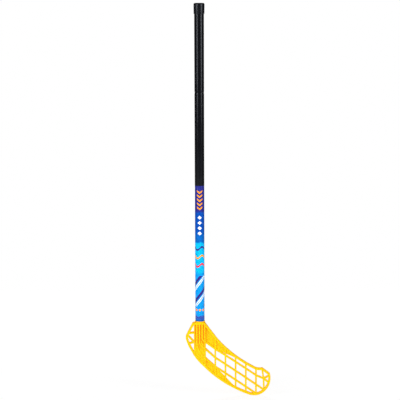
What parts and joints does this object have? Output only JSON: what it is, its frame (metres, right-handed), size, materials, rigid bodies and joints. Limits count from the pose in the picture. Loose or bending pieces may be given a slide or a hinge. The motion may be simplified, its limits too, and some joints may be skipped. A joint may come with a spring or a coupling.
{
  "type": "floorball stick",
  "caption": "Child-size floorball stick: straight tapered tube with sleeved grip and printed wrap, push-over end cap and an open-lattice hooked blade moulded with its ribbed hosel.",
  "frame": {"origin": "on the shaft axis at the middle of the upper grip, where the top hand holds the stick", "axes": "+Z along the shaft towards the end cap, +X from the shaft towards the toe of the blade, -Y out of the concave face of the blade"},
  "size_m": [0.1984, 0.0328, 0.9199],
  "materials": {
    "tube": "satin black glass-fibre laminate",
    "film": null,
    "grip": "satin black shrink sleeve",
    "cap": "satin black moulded rubber",
    "blade": "semi-gloss yellow moulded polypropylene",
    "screws": "bright zinc plated"
  },
  "bodies": {
    "root": {"shaft_tube": "tube", "print_film": "film", "grip_sleeve_upper": "grip", "grip_sleeve_lower": "grip", "end_cap": "cap", "blade": "blade", "blade_screws": "screws"}
  },
  "joints": []
}
